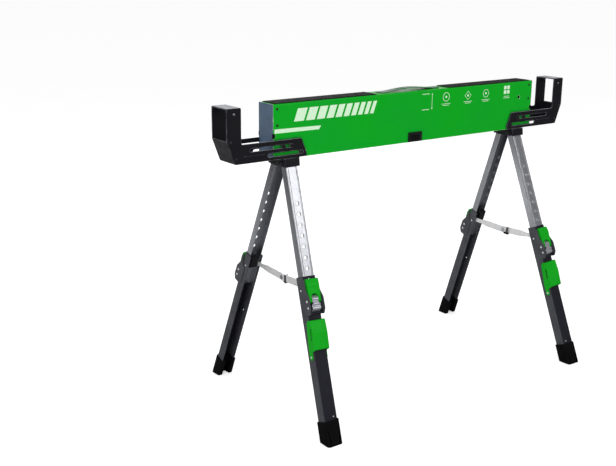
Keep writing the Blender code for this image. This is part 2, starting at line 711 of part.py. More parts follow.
def main():
    start_scene()
    paints = {
        "green": paint("green_paint", (0.010, 0.35, 0.020), 0.38, 0.0),
        "plastic": paint("green_plastic", (0.010, 0.36, 0.020), 0.45, 0.0),
        "black": paint("black_paint", (0.014, 0.014, 0.018), 0.50, 0.0),
        "moulding": paint("black_plastic", (0.014, 0.014, 0.016), 0.55, 0.0),
        "charcoal": paint("charcoal_paint", (0.045, 0.046, 0.055), 0.48, 0.0),
        "slate": paint("slate_paint", (0.070, 0.100, 0.150), 0.45, 0.2),
        "zinc": paint("zinc_plate", (0.60, 0.60, 0.63), 0.35, 0.9),
        "rubber": paint("grip_rubber", (0.020, 0.020, 0.022), 0.80, 0.0),
        "foot": paint("foot_rubber", (0.012, 0.012, 0.013), 0.80, 0.0),
    }
    build_frame(paints)
    build_arms(paints)
    build_leg_pairs(paints)


main()
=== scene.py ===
"""Looks of a folding sawhorse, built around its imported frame.

Metres, +Z up. +X runs along the beam to the right end and -Y is the front. Left and right,
front and back are mirror images, so a piece that repeats is made once, for the left end and
the front leg, and mirrored.
"""

import json
import math
from contextlib import contextmanager
from functools import partial

import bmesh
import bpy
from mathutils import Matrix, Vector


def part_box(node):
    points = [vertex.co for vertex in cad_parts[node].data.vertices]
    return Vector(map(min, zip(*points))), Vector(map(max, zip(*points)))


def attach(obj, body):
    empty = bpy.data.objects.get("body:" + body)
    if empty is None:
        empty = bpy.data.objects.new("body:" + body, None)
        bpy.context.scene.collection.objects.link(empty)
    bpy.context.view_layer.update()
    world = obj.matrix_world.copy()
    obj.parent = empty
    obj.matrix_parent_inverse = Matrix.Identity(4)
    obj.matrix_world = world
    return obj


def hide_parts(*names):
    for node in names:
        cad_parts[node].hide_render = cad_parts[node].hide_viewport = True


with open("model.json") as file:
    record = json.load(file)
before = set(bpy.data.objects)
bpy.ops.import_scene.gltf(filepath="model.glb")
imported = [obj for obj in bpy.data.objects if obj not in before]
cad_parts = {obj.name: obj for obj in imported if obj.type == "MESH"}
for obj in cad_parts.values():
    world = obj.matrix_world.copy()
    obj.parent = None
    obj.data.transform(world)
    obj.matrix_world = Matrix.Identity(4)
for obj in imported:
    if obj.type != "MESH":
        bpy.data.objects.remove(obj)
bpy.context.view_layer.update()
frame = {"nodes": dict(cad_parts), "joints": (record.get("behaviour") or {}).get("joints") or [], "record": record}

ENDS = ("left", "right")
FACES = ("front", "back")
LEGS = [f"{end}_{face}" for end in ENDS for face in FACES]
JOINTS = {joint["name"]: joint for joint in frame["joints"]}

BEAM_LOW, BEAM_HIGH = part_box("beam")
ARM_LOW, ARM_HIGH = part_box("left_support_arm")


# ---------------------------------------------------------------- materials

class Paint:
    """A Principled material with the few texture steps that every finish here needs."""

    def __init__(self, name, colour, roughness, metallic=0.0, specular=0.25, coat=0.0):
        self.material = bpy.data.materials.new(name)
        self.material.use_nodes = True
        self.tree = self.material.node_tree
        self.shader = self.tree.nodes["Principled BSDF"]
        self.shader.inputs["Base Color"].default_value = (*colour, 1)
        self.shader.inputs["Roughness"].default_value = roughness
        self.shader.inputs["Metallic"].default_value = metallic
        self.shader.inputs["Coat Weight"].default_value = coat
        self.shader.inputs["Coat Roughness"].default_value = 0.2
        self.shader.inputs["Specular IOR Level"].default_value = specular
        self.place = self.add("ShaderNodeTexCoord").outputs["Object"]
        self.relief = None

    def add(self, kind, inputs=None, **settings):
        """A new node; an input is a number, a colour or another node's socket."""
        node = self.tree.nodes.new(kind)
        for key, value in settings.items():
            setattr(node, key, value)
        for key, value in (inputs or {}).items():
            if isinstance(value, bpy.types.NodeSocket):
                self.tree.links.new(value, node.inputs[key])
            else:
                node.inputs[key].default_value = value
        return node

    def stretched(self, scale):
        """The place, scaled along each axis, for grain that runs one way."""
        mapping = self.add("ShaderNodeMapping", {"Vector": self.place, "Scale": scale})
        return mapping.outputs["Vector"]

    def along(self, axis):
        return self.add("ShaderNodeSeparateXYZ", {"Vector": self.place}).outputs[axis]

    def noise(self, scale, detail=3.0, place=None):
        inputs = {"Vector": place or self.place, "Scale": scale, "Detail": detail}
        return self.add("ShaderNodeTexNoise", inputs).outputs["Fac"]

    def flakes(self, scale):
        """Patches of one grey each, as crystals in a coating."""
        cells = self.add("ShaderNodeTexVoronoi", {"Vector": self.place, "Scale": scale})
        return self.add("ShaderNodeRGBToBW", {"Color": cells.outputs["Color"]}).outputs["Val"]

    def ranged(self, value, low, high, to_low, to_high):
        inputs = {"Value": value, "From Min": low, "From Max": high}
        inputs.update({"To Min": to_low, "To Max": to_high})
        return self.add("ShaderNodeMapRange", inputs).outputs["Result"]

    def maths(self, operation, first, second=0.0):
        node = self.add("ShaderNodeMath", {0: first, 1: second}, operation=operation)
        return node.outputs["Value"]

    def product(self, first, second):
        return self.maths("MULTIPLY", first, second)

    def tinted(self, factor, second):
        """Mixes the base colour towards the second colour where the factor is high."""
        socket = self.shader.inputs["Base Color"]
        mix = self.add("ShaderNodeMix", data_type="RGBA")
        if socket.is_linked:
            self.tree.links.new(socket.links[0].from_socket, mix.inputs[6])
        else:
            mix.inputs[6].default_value = socket.default_value
        mix.inputs[7].default_value = (*second, 1)
        self.tree.links.new(factor, mix.inputs[0])
        self.tree.links.new(mix.outputs[2], socket)

    def mottled(self, scale, detail, low, high, amount, second):
        """Tints towards the second colour in patches, where the noise runs from low to high."""
        self.tinted(self.ranged(self.noise(scale, detail), low, high, 0.0, amount), second)

    def roughened(self, factor, low, high):
        result = self.ranged(factor, 0.3, 0.7, low, high)
        self.tree.links.new(result, self.shader.inputs["Roughness"])

    def bumped(self, height, strength, distance):
        inputs = {"Height": height, "Strength": strength, "Distance": distance}
        if self.relief:
            inputs["Normal"] = self.relief
        self.relief = self.add("ShaderNodeBump", inputs).outputs["Normal"]
        self.tree.links.new(self.relief, self.shader.inputs["Normal"])

    def facing(self, axis):
        """1 where the surface faces up, or either way along X or Y, and 0 where it doesn't."""
        normal = self.add("ShaderNodeNewGeometry").outputs["Normal"]
        part = self.add("ShaderNodeSeparateXYZ", {"Vector": normal}).outputs[axis]
        if axis != "Z":
            part = self.maths("ABSOLUTE", part)
        return self.ranged(part, 0.6, 0.95, 0.0, 1.0)

    def painted_shade(self, reach, colour, amount, local=True):
        """Paints shade into recesses: the piece's own, or also those that other pieces make against it."""
        occlusion = self.add(
            "ShaderNodeAmbientOcclusion", {"Distance": reach}, samples=6, only_local=local
        )
        shallow, deep = (0.85, 0.45) if local else (0.92, 0.55)
        recess = self.ranged(occlusion.outputs["AO"], shallow, deep, 0.0, 1.0)
        self.tinted(self.product(recess, amount), colour)

    def painted_highlight(self, radius, colour, amount):
        """Paints a patchy highlight along edges."""
        bevel = self.add("ShaderNodeBevel", {"Radius": radius}, samples=4)
        normal = self.add("ShaderNodeNewGeometry").outputs["Normal"]
        both = {0: bevel.outputs["Normal"], 1: normal}
        alike = self.add("ShaderNodeVectorMath", both, operation="DOT_PRODUCT").outputs["Value"]
        edge = self.ranged(alike, 0.995, 0.88, 0.0, 1.0)
        patchy = self.ranged(self.noise(60), 0.35, 0.65, 0.1, 1.0)
        self.tinted(self.product(self.product(edge, patchy), amount), colour)


def times(colour, factor):
    """The colour made lighter or darker."""
    return tuple(channel * factor for channel in colour)


def green_enamel():
    paint = Paint("green_enamel", (0.001, 0.43, 0.010), 0.36, specular=0.10, coat=0.05)
    paint.mottled(5, 2, 0.35, 0.65, 0.5, (0.001, 0.38, 0.030))
    paint.roughened(paint.noise(40), 0.30, 0.40)
    paint.bumped(paint.noise(700, 2), 0.08, 0.0002)
    # Painted contact shadow: darker green where other pieces stand close.
    paint.painted_shade(0.012, (0.001, 0.040, 0.012), 0.95, local=False)
    # Pale green painted highlight along the edges.
    paint.painted_highlight(0.0021, (0.70, 0.95, 0.72), 1.0)
    return paint.material


def powder_coat(
    name, colour, highlight_colour, roughness, lit_colour=None, axis="X", highlight_radius=0.0013, shaded=None
):
    """Fine powder coat, with a painted highlight on its edges and painted shade in its recesses.

    Its faces across one axis can be painted lighter, as lit there, and it can have painted shade beside other
    pieces.
    """
    paint = Paint(name, colour, roughness)
    paint.mottled(30, 4, 0.4, 0.7, 0.5, times(colour, 1.5))
    # The faces across the axis are painted lighter, as where light falls on them.
    if lit_colour:
        patchy = paint.ranged(paint.noise(22, 5), 0.3, 0.6, 0.6, 0.9)
        paint.tinted(paint.product(paint.facing(axis), patchy), lit_colour)
    paint.roughened(paint.noise(90), roughness - 0.05, roughness + 0.07)
    paint.bumped(paint.noise(1500, 2), 0.18, 0.0003)
    # Painted highlight along the edges.
    paint.painted_highlight(highlight_radius, highlight_colour, 0.9)
    # Painted shade in its own recesses, such as a channel's inside.
    paint.painted_shade(0.025, (0.003, 0.003, 0.004), 0.95)
    # Painted shade beside other pieces.
    if shaded:
        paint.painted_shade(0.012, shaded, 0.9, local=False)
    return paint.material


def zinc(name, colour=(0.60, 0.615, 0.65), metallic=1.0, side_shade=0.0):
    """Drawn and plated steel; the upper part of its sides can be painted darker, as shade."""
    paint = Paint(name, colour, 0.32, metallic)
    drawn = paint.noise(900, 3, paint.stretched((1, 1, 0.03)))
    paint.tinted(paint.ranged(paint.flakes(140), 0.2, 0.8, 0.0, 0.35), times(colour, 0.8))
    paint.tinted(paint.ranged(drawn, 0.45, 0.75, 0.0, 0.4), times(colour, 0.7))
    if side_shade:
        # The upper part of the sides is painted darker, as shade.
        upper = paint.ranged(paint.along("Z"), 0.40, 0.64, 0.0, side_shade)
        paint.tinted(paint.product(paint.facing("X"), upper), (0.07, 0.07, 0.08))
    paint.roughened(drawn, 0.26, 0.40)
    paint.bumped(drawn, 0.10, 0.0002)
    # Bright painted highlight along the edges.
    paint.painted_highlight(0.0018, (0.98, 0.98, 1.0), 0.8)
    # Painted shade in the grooves and round the holes.
    paint.painted_shade(0.0018, (0.05, 0.05, 0.06), 0.75)
    return paint.material


def moulded(name, colour, roughness, lighter):
    """Moulded plastic with a fine grain."""
    paint = Paint(name, colour, roughness, specular=0.15)
    paint.mottled(25, 3, 0.4, 0.7, 0.4, lighter)
    paint.roughened(paint.noise(60), roughness - 0.05, roughness + 0.05)
    paint.bumped(paint.noise(1800, 1), 0.12, 0.0002)
    return paint.material


def rubber(name, colour):
    paint = Paint(name, colour, 0.72, specular=0.12)
    paint.mottled(35, 4, 0.45, 0.75, 0.6, times(colour, 2.2))
    paint.roughened(paint.noise(120), 0.62, 0.80)
    paint.bumped(paint.noise(900, 4), 0.30, 0.0004)
    return paint.material


def sheened_handle():
    """Dark green lacquer on steel, with a painted grey sheen towards the left end."""
    paint = Paint("handle_coat", (0.003, 0.150, 0.035), 0.34)
    # Towards the left end the green is painted over to a grey sheen, with a ragged border.
    sheen_mask = paint.maths("ADD", paint.along("X"), paint.product(paint.noise(45, 4), 0.05))
    paint.tinted(paint.ranged(sheen_mask, -0.008, -0.052, 0.0, 0.85), (0.20, 0.28, 0.24))
    paint.roughened(paint.noise(70), 0.30, 0.42)
    paint.bumped(paint.noise(800, 3), 0.10, 0.0002)
    # Painted highlight on the edges, then painted shade in its recesses.
    paint.painted_highlight(0.0016, (0.30, 0.36, 0.33), 0.6)
    paint.painted_shade(0.008, (0.002, 0.020, 0.008), 0.9)
    return paint.material


def print_white():
    paint = Paint("white_print", (0.74, 1.0, 0.72), 0.45)
    paint.mottled(300, 4, 0.55, 0.75, 0.35, (0.55, 0.88, 0.55))
    paint.bumped(paint.noise(900, 2), 0.05, 0.0001)
    return paint.material


PAINTS = {
    "green_paint": green_enamel(),
    # Tops painted a little lighter, as lit from above, with painted highlights on the edges.
    "black_paint": powder_coat(
        "black_coat", (0.0065, 0.0065, 0.0095), (0.20, 0.20, 0.24), 0.46,
        lit_colour=(0.050, 0.050, 0.058), axis="Z",
    ),
    # Faces across X painted lighter, as lit from the left, with painted highlights on the edges.
    "charcoal_paint": powder_coat(
        "charcoal_coat", (0.011, 0.011, 0.019), (0.16, 0.16, 0.19), 0.48,
        lit_colour=(0.085, 0.088, 0.100),
    ),
    # Painted shade beside other pieces, and wider painted highlights on the edges.
    "slate_paint": powder_coat(
        "slate_coat", (0.094, 0.144, 0.220), (0.45, 0.52, 0.56), 0.42,
        highlight_radius=0.0018, shaded=(0.010, 0.014, 0.022),
    ),
    # Upper sides painted darker, as shade.
    "zinc_plate": zinc("zinc", side_shade=0.64),
    "green_plastic": moulded("green_moulding", (0.001, 0.40, 0.008), 0.42, (0.004, 0.47, 0.016)),
    "black_plastic": moulded("black_moulding", (0.008, 0.008, 0.010), 0.50, (0.02, 0.02, 0.023)),
    "grip_rubber": rubber("grip_rubber", (0.0042, 0.0044, 0.0048)),
    "foot_rubber": rubber("foot_rubber", (0.0022, 0.0022, 0.0028)),
}
WHITE = print_white()
HANDLE_COAT = sheened_handle()
# Black coat with its upward faces painted light grey as a reflection, and wide painted highlights on its folds.
ARM_COAT = powder_coat(
    "arm_coat", (0.0060, 0.0060, 0.0090), (0.30, 0.30, 0.34), 0.46,
    lit_colour=(0.44, 0.45, 0.49), axis="Z", highlight_radius=0.0024,
)
# A lighter, less metallic copy of the zinc, painted bright so that struts and rivets look lit.
LIT_ZINC = zinc("lit_zinc", (0.93, 0.93, 0.94), metallic=0.4)
SPRING = zinc("spring_steel", (0.74, 0.76, 0.82), metallic=0.85)
SLOT_OF = {part["node"]: part["material_slot"] for part in frame["record"]["subparts"]}
BODY_OF = {}
for body_name, members in frame["record"]["behaviour"]["bodies"].items():
    BODY_OF.update({member: body_name for member in members})


# ---------------------------------------------------------------- flat shapes and solids

def rounded(corners, radius, steps=5):
    """An outline with its corners turned into arcs; radius is one number or one per corner."""
    count = len(corners)
    radii = radius if isinstance(radius, (list, tuple)) else [radius] * count
    points = []
    for i, r in enumerate(radii):
        corner = Vector(corners[i])
        if not r:
            points.append(corner)
            continue
        back = (Vector(corners[i - 1]) - corner).normalized()
        ahead = (Vector(corners[(i + 1) % count]) - corner).normalized()
        half = back.angle(ahead) / 2
        centre = corner + (back + ahead).normalized() * (r / math.sin(half))
        first = corner + back * (r / math.tan(half)) - centre
        last = corner + ahead * (r / math.tan(half)) - centre
        turn = first.angle(last)
        for step in range(steps + 1):
            t = step / steps
            arc = first * math.sin((1 - t) * turn) + last * math.sin(t * turn)
            points.append(centre + arc / math.sin(turn))
    return points


def circle(x, y, radius, steps=28):
    turns = [2 * math.pi * i / steps for i in range(steps)]
    return [(x + radius * math.cos(a), y + radius * math.sin(a)) for a in turns]


def rectangle(left, right, low, high):
    return [(left, low), (right, low), (right, high), (left, high)]


def linked(mesh_or_curve):
    obj = bpy.data.objects.new("working", mesh_or_curve)
    bpy.context.scene.collection.objects.link(obj)
    return obj


def evaluated(obj):
    """The object's mesh with its modifiers applied, the object itself removed."""
    bpy.context.view_layer.update()
    graph = bpy.context.evaluated_depsgraph_get()
    mesh = bpy.data.meshes.new_from_object(obj.evaluated_get(graph))
    bpy.data.objects.remove(obj, do_unlink=True)
    return mesh


@contextmanager
def editing(mesh):
    """The mesh in its editable form, written back at the end."""
    bm = bmesh.new()
    bm.from_mesh(mesh)
    yield bm
    bm.to_mesh(mesh)
    bm.free()


def extruded(outline, low, high, holes=()):
    """A flat outline with holes, filled, from z = low to z = high."""
    curve = bpy.data.curves.new("outline", "CURVE")
    curve.dimensions = "2D"
    curve.fill_mode = "BOTH"
    curve.extrude = (high - low) / 2
    for loop in (outline, *holes):
        spline = curve.splines.new("POLY")
        spline.points.add(len(loop) - 1)
        for point, place in zip(spline.points, loop):
            point.co = (place[0], place[1], 0, 1)
        spline.use_cyclic_u = True
    mesh = evaluated(linked(curve))
    mesh.transform(Matrix.Translation((0, 0, (low + high) / 2)))
    with editing(mesh) as bm:
        bmesh.ops.remove_doubles(bm, verts=bm.verts, dist=1e-6)
        bmesh.ops.recalc_face_normals(bm, faces=bm.faces)
    return mesh


def slab_x(outline, low, high, holes=()):
    """A (y, z) outline between two x planes."""
    mesh = extruded(outline, low, high, holes)
    mesh.transform(Matrix(((0, 0, 1, 0), (1, 0, 0, 0), (0, 1, 0, 0), (0, 0, 0, 1))))
    return mesh


def slab_y(outline, low, high, holes=()):
    """An (x, z) outline between two y planes."""
    mesh = extruded(outline, -high, -low, holes)
    mesh.transform(Matrix(((1, 0, 0, 0), (0, 0, -1, 0), (0, 1, 0, 0), (0, 0, 0, 1))))
    return mesh


def block(x, y, z):
    return extruded(rectangle(*x, *y), *z)


def turned(profile, steps=28):
    """A profile of (radius, height) points turned round Z."""
    mesh = bpy.data.meshes.new("turned")
    with editing(mesh) as bm:
        points = [bm.verts.new((r, 0, z)) for r, z in profile]
        edges = [bm.edges.new(pair) for pair in zip(points, points[1:])]
        turn = {"axis": (0, 0, 1), "cent": (0, 0, 0), "angle": 2 * math.pi, "steps": steps}
        bmesh.ops.spin(bm, geom=points + edges, use_merge=True, **turn)
        bmesh.ops.remove_doubles(bm, verts=bm.verts, dist=1e-6)
        bmesh.ops.recalc_face_normals(bm, faces=bm.faces)
    return mesh


def placed(mesh, place, direction=(0, 0, 1)):
    """The mesh with its Z axis turned along the direction, at the place."""
    turn = Vector(direction).to_track_quat("Z", "Y").to_matrix().to_4x4()
    mesh.transform(Matrix.Translation(place) @ turn)
    return mesh


def rod(start, end, radius, steps=28):
    start, end = Vector(start), Vector(end)
    length = (end - start).length
    return placed(turned([(0, 0), (radius, 0), (radius, length), (0, length)], steps), start, end - start)


def combined(operation, base, others):
    """One closed solid and others put through a Boolean."""
    obj = linked(base)
    tools = [linked(other) for other in others]
    for tool in tools:
        boolean = obj.modifiers.new("shape", "BOOLEAN")
        boolean.operation = operation
        boolean.object = tool
    mesh = evaluated(obj)
    for tool in tools:
        bpy.data.objects.remove(tool, do_unlink=True)
    return mesh


def cut(base, *others):
    return combined("DIFFERENCE", base, others)


def joined(base, *others):
    return combined("UNION", base, others)


def together(*meshes):
    """Loose shapes in one mesh."""
    result = bpy.data.meshes.new("together")
    with editing(result) as bm:
        for mesh in meshes:
            bm.from_mesh(mesh)
    return result


def domed(radius, height):
    """A rivet's or bolt's domed head, standing on z = 0 with its root just below."""
    root, rim, steps = -0.0006, height * 0.25, 5
    profile = [(0, root), (radius, root), (radius, rim)]
    for i in range(steps + 1):
        angle = 0.15 + 1.30 * i / steps
        profile.append((radius * math.cos(angle), rim + (height - rim) * math.sin(angle)))
    return turned(profile + [(0, height)], 24)


# ---------------------------------------------------------------- pieces on bodies

def merged(mesh):
    """The mesh with the parts of each flat face made one."""
    with editing(mesh) as bm:
        bmesh.ops.remove_doubles(bm, verts=bm.verts, dist=2e-5)
        bmesh.ops.dissolve_limit(bm, angle_limit=math.radians(1.0), verts=bm.verts, edges=bm.edges)
    return mesh


def sliced(mesh, heights):
    """The mesh with its faces divided at each height, so that a hole there leaves simple faces."""
    with editing(mesh) as bm:
        for height in heights:
            geometry = [*bm.verts, *bm.edges, *bm.faces]
            bmesh.ops.bisect_plane(bm, geom=geometry, plane_co=(0, 0, height), plane_no=(0, 0, 1))
    return mesh


def edged(mesh, width, fold_width=0.0, is_fold=None, segments=2, whole=True):
    """The mesh with its sharp edges rounded: folds wide, others narrow.

    Its flat faces are made whole first, unless it was divided for its holes.
    """
    widest = max(width, fold_width)
    with editing(merged(mesh) if whole else mesh) as bm:
        weights = bm.edges.layers.float.new("bevel_weight_edge")
        for edge in bm.edges:
            if len(edge.link_faces) == 2 and edge.calc_face_angle() > math.radians(40):
                folded = is_fold and is_fold(edge)
                edge[weights] = (fold_width if folded else width) / widest
    mesh.shade_smooth()
    obj = linked(mesh)
    bevel = obj.modifiers.new("edges", "BEVEL")
    bevel.width = widest
    bevel.segments = segments
    bevel.limit_method = "WEIGHT"
    bevel.use_clamp_overlap = False
    normals = obj.modifiers.new("normals", "WEIGHTED_NORMAL")
    normals.weight = 100
    return evaluated(obj)


def shown(name, mesh, body, material, replaced=()):
    """A finished piece that rides on its body and stands for the CAD nodes that it replaces."""
    mesh.name = name
    mesh.materials.clear()
    mesh.materials.append(material)
    obj = bpy.data.objects.new(name, mesh)
    bpy.context.scene.collection.objects.link(obj)
    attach(obj, body)
    if replaced:
        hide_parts(*replaced)


def smooth(mesh):
    """Rounded shading, with the sharp edges kept."""
    mesh.shade_smooth()
    mesh.set_sharp_from_angle(angle=math.radians(35))
    return mesh


def flipped(mesh, end, face):
    """A copy of a left front shape for the end and face that are named."""
    mesh = mesh.copy()
    signs = (-1 if end == "right" else 1, -1 if face == "back" else 1)
    mesh.transform(Matrix.Diagonal((*signs, 1, 1)))
    if signs[0] * signs[1] < 0:
        mesh.flip_normals()
    return mesh


def repeated(name, mesh, slot, body, faces=FACES, node=None, finish=smooth, material=None):
    """A left front shape at each end and on each face named; body and node hold {end} and {face}."""
    for end in ENDS:
        for face in faces:
            words = {"end": end, "face": face}
            label = name.format(**words)
            replaced = [node.format(**words)] if node else []
            paint = material or PAINTS[slot]
            shown(label, finish(flipped(mesh, end, face)), body.format(**words), paint, replaced)


def refined(node, width, fold_width=0.0, is_fold=None, segments=2, cutters=(), material=None):
    """A piece that stands for a CAD node, with its edges rounded as the real one's are."""
    mesh = frame["nodes"][node].data.copy()
    if cutters:
        mesh = cut(mesh, *cutters)
    mesh = edged(mesh, width, fold_width, is_fold, segments)
    slot = SLOT_OF[node]
    shown(f"{node}_shell", mesh, BODY_OF[node], material or PAINTS[slot], [node])


# ---------------------------------------------------------------- beam

BEAM_FRONT = BEAM_LOW.y
PRINT_OUT = BEAM_FRONT - 0.00018
PRINT_IN = BEAM_FRONT + 0.0001
HALF_LINE = 0.0007


def top_fold(edge):
    """True on the two long edges of the beam's top."""
    return all(v.co.z > BEAM_HIGH.z - 1e-4 and abs(v.co.y) > BEAM_HIGH.y - 1e-4 for v in edge.verts)


def make_beam():
    hole_x, hole_z = BEAM_HIGH.x - 0.053, BEAM_HIGH.z - 0.0455
    hole = rod((hole_x, BEAM_FRONT - 0.02, hole_z), (hole_x, BEAM_FRONT + 0.01, hole_z), 0.0050)
    refined("beam", 0.0005, 0.0009, top_fold, segments=3, cutters=[hole])
    for end in ENDS:
        refined(f"{end}_end_plate", 0.0005)
        refined(f"{end}_top_grip", 0.0003)
    refined("carry_handle", 0.0007, segments=3, material=HANDLE_COAT)
    refined("catch_housing", 0.0006)
    refined("catch_button", 0.0006)


def make_beam_ends():
    """At each end: two rivets on each side, a lip round the plate and a half-round bumper."""
    rivets = []
    for below_top in (0.0120, 0.0525):
        place = (BEAM_LOW.x + 0.012, BEAM_FRONT, BEAM_HIGH.z - below_top)
        rivets.append(placed(domed(0.0031, 0.0014), place, (0, -1, 0)))
    repeated("{end}_{face}_plate_rivets", together(*rivets), "black_paint", "frame")
    lip = rounded(rectangle(BEAM_LOW.y, BEAM_HIGH.y, BEAM_LOW.z, BEAM_HIGH.z), 0.0022)
    lip = slab_x(lip, BEAM_LOW.x - 0.0008, BEAM_LOW.x - 0.0001)
    thin = partial(edged, width=0.0003)
    repeated("{end}_end_plate_lip", lip, "slate_paint", "frame", ("front",), finish=thin)
    disc = circle(BEAM_LOW.x, BEAM_LOW.z + 0.059, 0.0058)
    bumper = cut(
        slab_y(disc, BEAM_FRONT - 0.0012, BEAM_FRONT + 0.0030),
        block((-0.6, BEAM_LOW.x - 0.0012), (-0.1, 0.1), (0.6, 0.9)),
    )
    soft = partial(edged, width=0.0005)
    repeated("{end}_{face}_bumper", bumper, "grip_rubber", "frame", finish=soft)


def make_handle_rivets():
    knob = placed(domed(0.0042, 0.0012), (-0.096, 0, BEAM_HIGH.z + 0.0023), (0, 0, 1))
    repeated("{end}_handle_rivet", knob, "zinc_plate", "frame", faces=("front",))


def stripe_shapes():
    """A slanting line under a row of leaning bars that narrow to the right, as outlines."""
    low, high, lean = 0.7645, 0.7965, 0.012
    outlines = [[(-0.457, 0.7395), (-0.322, 0.7385), (-0.3155, 0.7478), (-0.457, 0.7500)]]
    left, width, gap = -0.399, 0.0300, 0.0065
    while left < -0.150:
        right = left + width
        outlines.append([(left, low), (right, low), (right + lean, high), (left + lean, high)])
        left = right + gap
        width *= 0.90
    return outlines


def measure_shapes():
    """A height arrow between two short lines, as outlines."""
    low, high, middle, half = 0.7575, 0.8020, 0.0624, 0.0024
    outlines = [rectangle(0.026, 0.052, z - 0.0008, z + 0.0008) for z in (0.8012, 0.7585)]
    outlines.append(rectangle(middle - 0.0006, middle + 0.0006, low + 0.0035, high - 0.0035))
    outlines.append([(middle - half, low + 0.0045), (middle, low), (middle + half, low + 0.0045)])
    outlines.append([(middle - half, high - 0.0045), (middle + half, high - 0.0045), (middle, high)])
    return outlines


def dash(middle, z, half):
    return rectangle(middle - half, middle + half, z - HALF_LINE, z + HALF_LINE)


def make_print():
    """Plain bars and rings in white on the front wall."""
    outlines = stripe_shapes() + measure_shapes()
    radius, rim = 0.0125, 0.0014
    rings = []
    for x, z, sides in ((0.115, 0.788, 28), (0.199, 0.786, 4), (0.270, 0.787, 6)):
        rings.append((circle(x, z, radius, sides), circle(x, z, radius - rim, sides)))
        outlines.append(circle(x, z, 0.0032, 20))
        outlines += [dash(x, 0.7690, 0.016), dash(x, 0.7648, 0.011)]
    tile = 0.0105
    for x in (0.3435, 0.3565):
        for z in (0.7795, 0.7925):
            outlines.append(rounded(rectangle(x, x + tile, z, z + tile), 0.002))
    outlines += [dash(0.3552, 0.7725, 0.011), dash(0.3552, 0.7680, 0.013)]
    shapes = [slab_y(outline, PRINT_OUT, PRINT_IN) for outline in outlines]
    shapes += [slab_y(outer, PRINT_OUT, PRINT_IN, [inner]) for outer, inner in rings]
    shown("front_print", together(*shapes), "frame", WHITE)


# ---------------------------------------------------------------- arms and hubs

def arm_fold(edge):
    """True on the arm's bent edges, where a side plate meets the top plate or the outer wall."""
    side = ARM_HIGH.y - 1e-4
    if not all(abs(v.co.y) > side for v in edge.verts):
        return False
    faces = [f for f in edge.link_faces if abs(f.normal.y) < 0.5]
    spans = [max(v.co.y for v in f.verts) - min(v.co.y for v in f.verts) for f in faces]
    return bool(spans) and max(spans) > ARM_HIGH.y


def arm_dimples(sign):
    """Cutters for two small blind holes on each side of an arm; sign is -1 for the left one."""
    dimples = []
    for inset, rise in ((0.0110, 0.0557), (0.0265, 0.0137)):
        x, z = sign * (-ARM_LOW.x - inset), ARM_LOW.z + rise
        for side in (-1, 1):
            start, end = (x, side * (ARM_HIGH.y - 0.0015), z), (x, side * 0.05, z)
            dimples.append(rod(start, end, 0.0017, 16))
    return dimples


def make_arms():
    for end, sign in (("left", -1), ("right", 1)):
        dimples = arm_dimples(sign)
        refined(f"{end}_support_arm", 0.0004, 0.0018, arm_fold, 3, dimples, ARM_COAT)
    left, low = ARM_LOW.x + 0.0475, ARM_LOW.z + 0.0169
    # A pressed rib on each side, in the lighter charcoal as a painted highlight along it.
    bead = rounded(rectangle(left, left + 0.060, low, low + 0.0020), 0.00095)
    bead = slab_y(bead, ARM_LOW.y - 0.0006, ARM_LOW.y + 0.001)
    thin = partial(edged, width=0.0004)
    repeated("{end}_{face}_arm_bead", bead, "charcoal_paint", "{end}_arm", finish=thin)
    corner = (ARM_LOW.x + 0.0214, ARM_LOW.y, ARM_HIGH.z - 0.0152)
    rivet = placed(domed(0.0026, 0.0010), corner, (0, -1, 0))
    repeated("{end}_{face}_arm_rivet", rivet, "zinc_plate", "{end}_arm")


def make_guide_pins():
    """The pins through each arm's long slot, with a flanged head on both sides."""
    radius, flange = 0.0040, 0.0056
    face = ARM_HIGH.y + 0.0002
    for name in ("outer_guide_pin", "inner_guide_pin"):
        for end in ENDS:
            low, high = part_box(f"{end}_{name}")
            tip = high.y
            half = [(0, -tip), (flange - 0.0014, -tip), (flange, 0.0005 - tip)]
            half += [(flange, -face), (radius, -face)]
            profile = half + [(r, -z) for r, z in reversed(half)]
            pin = placed(turned(profile), ((low.x + high.x) / 2, 0, (low.z + high.z) / 2), (0, 1, 0))
            paint = PAINTS["black_paint"]
            node = f"{end}_{name}"
            shown(f"{node}_turned", smooth(pin), "frame", paint, [node])


def make_guide_studs():
    low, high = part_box("left_front_guide_stud")
    x, z = (low.x + high.x) / 2, (low.z + high.z) / 2
    radius, length, chamfer = (high.x - low.x) / 2, high.y - low.y, 0.0010
    profile = [(0, 0), (radius, 0), (radius, length - chamfer), (radius * 0.75, length), (0, length)]
    stud = placed(turned(profile), (x, high.y, z), (0, -1, 0))
    node = "{end}_{face}_guide_stud"
    repeated("{end}_{face}_stud_turned", stud, "black_paint", "frame", node=node)


def make_hubs():
    for end in ENDS:
        refined(f"{end}_hub", 0.0012, segments=3)


def make_leg_bolts():
    """A dished bolt head outside each hub, and a nut and washer inside."""
    low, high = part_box("left_front_leg_bolt")
    y, z = (low.y + high.y) / 2, (low.z + high.z) / 2
    shank = 0.003
    profile = [(0, 0), (0.0031, 0), (0.0031, 0.0043), (0.0062, 0.0043), (0.0062, 0.0052)]
    profile += [(0.0052, 0.0075), (shank, 0.0086), (shank, 0.0062), (0, 0.0062)]
    head = placed(turned(profile, 32), (low.x + 0.0086, y, z), (-1, 0, 0))
    nut = slab_x(circle(y, z, 0.0056, 6), high.x - 0.0040, high.x - 0.0006)
    washer = slab_x(circle(y, z, 0.0070), high.x - 0.0042, high.x - 0.0036)
    bolt = together(head, rod((low.x + 0.006, y, z), (high.x, y, z), shank), nut, washer)
    node = "{end}_{face}_leg_bolt"
    repeated("{end}_{face}_leg_bolt_set", bolt, "black_paint", "{end}_hub", node=node)


# ---------------------------------------------------------------- legs

